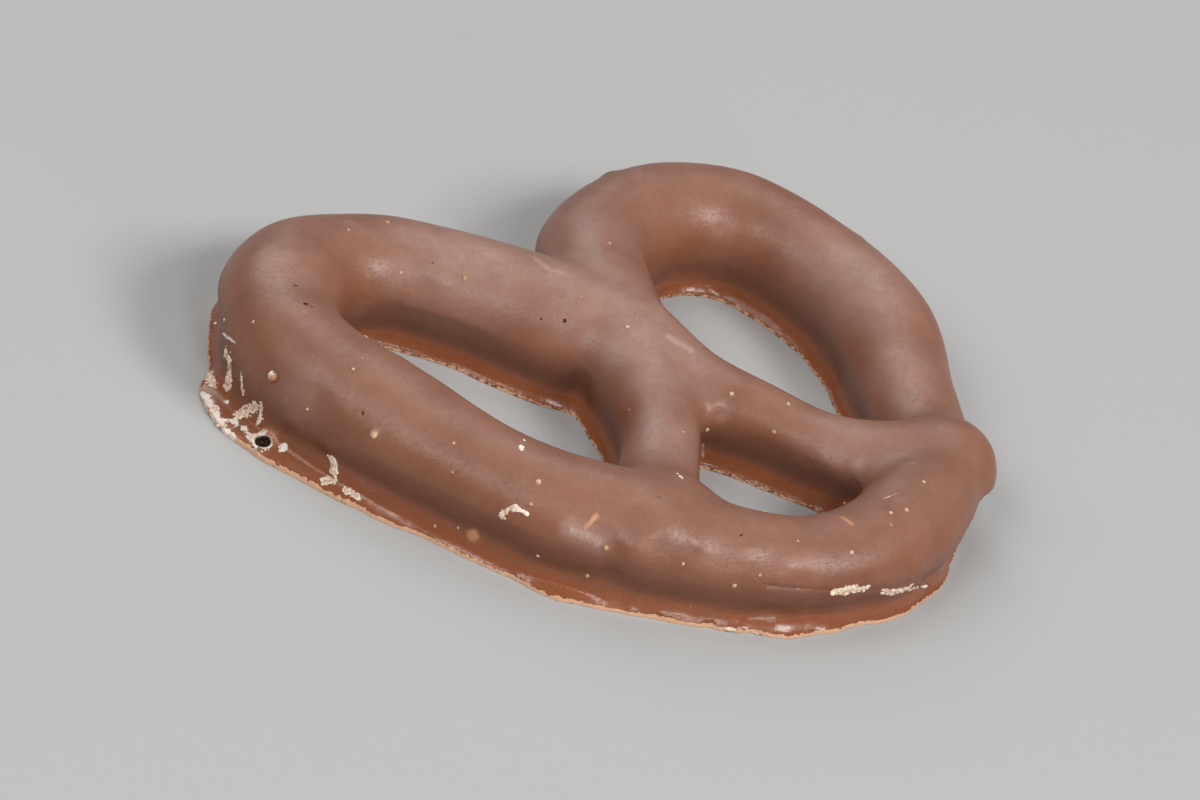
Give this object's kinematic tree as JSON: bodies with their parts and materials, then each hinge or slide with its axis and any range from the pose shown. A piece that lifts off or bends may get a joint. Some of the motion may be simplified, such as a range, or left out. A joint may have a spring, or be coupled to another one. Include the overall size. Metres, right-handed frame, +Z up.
{
  "type": "chocolate covered pretzel",
  "caption": "Pretzel twist coated all over in milk chocolate: a rope of dough looped into lobes and crossed arms, lying flat on a thin foot of coating.",
  "frame": {"origin": "middle of the outline seen from above, on the flat underside", "axes": "+X to the right along the longest extent, +Y from the bottom arc to the lobes, +Z up out of the flat underside"},
  "size_m": [0.0858, 0.0676, 0.0118],
  "materials": {
    "milk_chocolate": "satin milk chocolate"
  },
  "bodies": {
    "root": {"pretzel": "milk_chocolate"}
  },
  "joints": []
}
